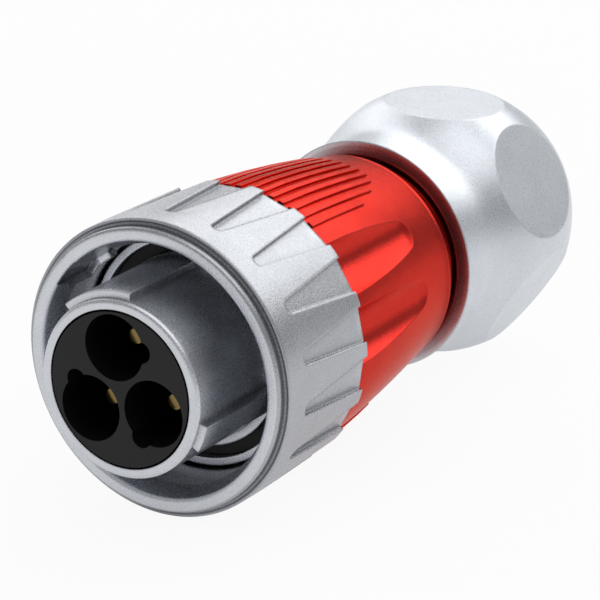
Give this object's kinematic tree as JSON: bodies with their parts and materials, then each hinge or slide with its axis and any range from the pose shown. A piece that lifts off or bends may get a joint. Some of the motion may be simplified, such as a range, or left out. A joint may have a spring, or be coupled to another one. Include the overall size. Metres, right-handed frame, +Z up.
{
  "type": "waterproof connector",
  "caption": "Round waterproof cable plug with a bayonet coupling ring, a keyed pin nose, a fluted back shell and a hexagon gland nut.",
  "frame": {"origin": "centre of the mating face, at the front of the insert in the nose", "axes": "+Y from the mating face back to the gland nut, along the plug's axis; +Z up, through the middle of the upper grip panel to within 2 degrees"},
  "size_m": [0.0366, 0.0819, 0.0366],
  "materials": {
    "silver_metal": "pearl satin plating, finely blasted",
    "red_metal": "satin metallic red",
    "black_plastic": "moulded, fine satin",
    "gold_contact": "gold plated, bright",
    "spring_steel": "plain",
    "rubber": "matte black",
    "nylon": "moulded nylon, dark grey"
  },
  "bodies": {
    "plug_body": {"nose_shell": "silver_metal", "insert_front": "black_plastic", "insert_rear": "black_plastic", "insert_clamp_ring": "silver_metal", "interface_seal": "rubber", "wave_spring": "spring_steel", "snap_ring": "spring_steel", "back_shell": "red_metal", "shell_seal": "rubber", "gland_claw": "nylon", "gland_seal": "rubber", "contact_1": "gold_contact", "terminal_screw_1": "spring_steel", "contact_2": "gold_contact", "terminal_screw_2": "spring_steel", "contact_3": "gold_contact", "terminal_screw_3": "spring_steel"},
    "coupling_ring": {"coupling_ring": "silver_metal"},
    "friction_washer": {"friction_washer": "nylon"},
    "gland_nut": {"gland_nut": "silver_metal"}
  },
  "joints": [
    {"name": "ring_turn", "type": "hinge", "parent": "plug_body", "child": "coupling_ring", "pos_m": [0, 0.016, 0], "axis": [0, 1, 0], "continuous": true},
    {"name": "washer_slide", "type": "slide", "parent": "plug_body", "child": "friction_washer", "axis": [0, 1, 0], "range_m": [0, 0.0045]},
    {"name": "nut_turn", "type": "hinge", "parent": "friction_washer", "child": "gland_nut", "pos_m": [0, 0.065, 0], "axis": [0, 1, 0], "range_deg": [0, 1080]}
  ],
  "couplings": [
    {"joint": "washer_slide", "follows": "nut_turn", "m_per_rad": 0.00023873}
  ]
}
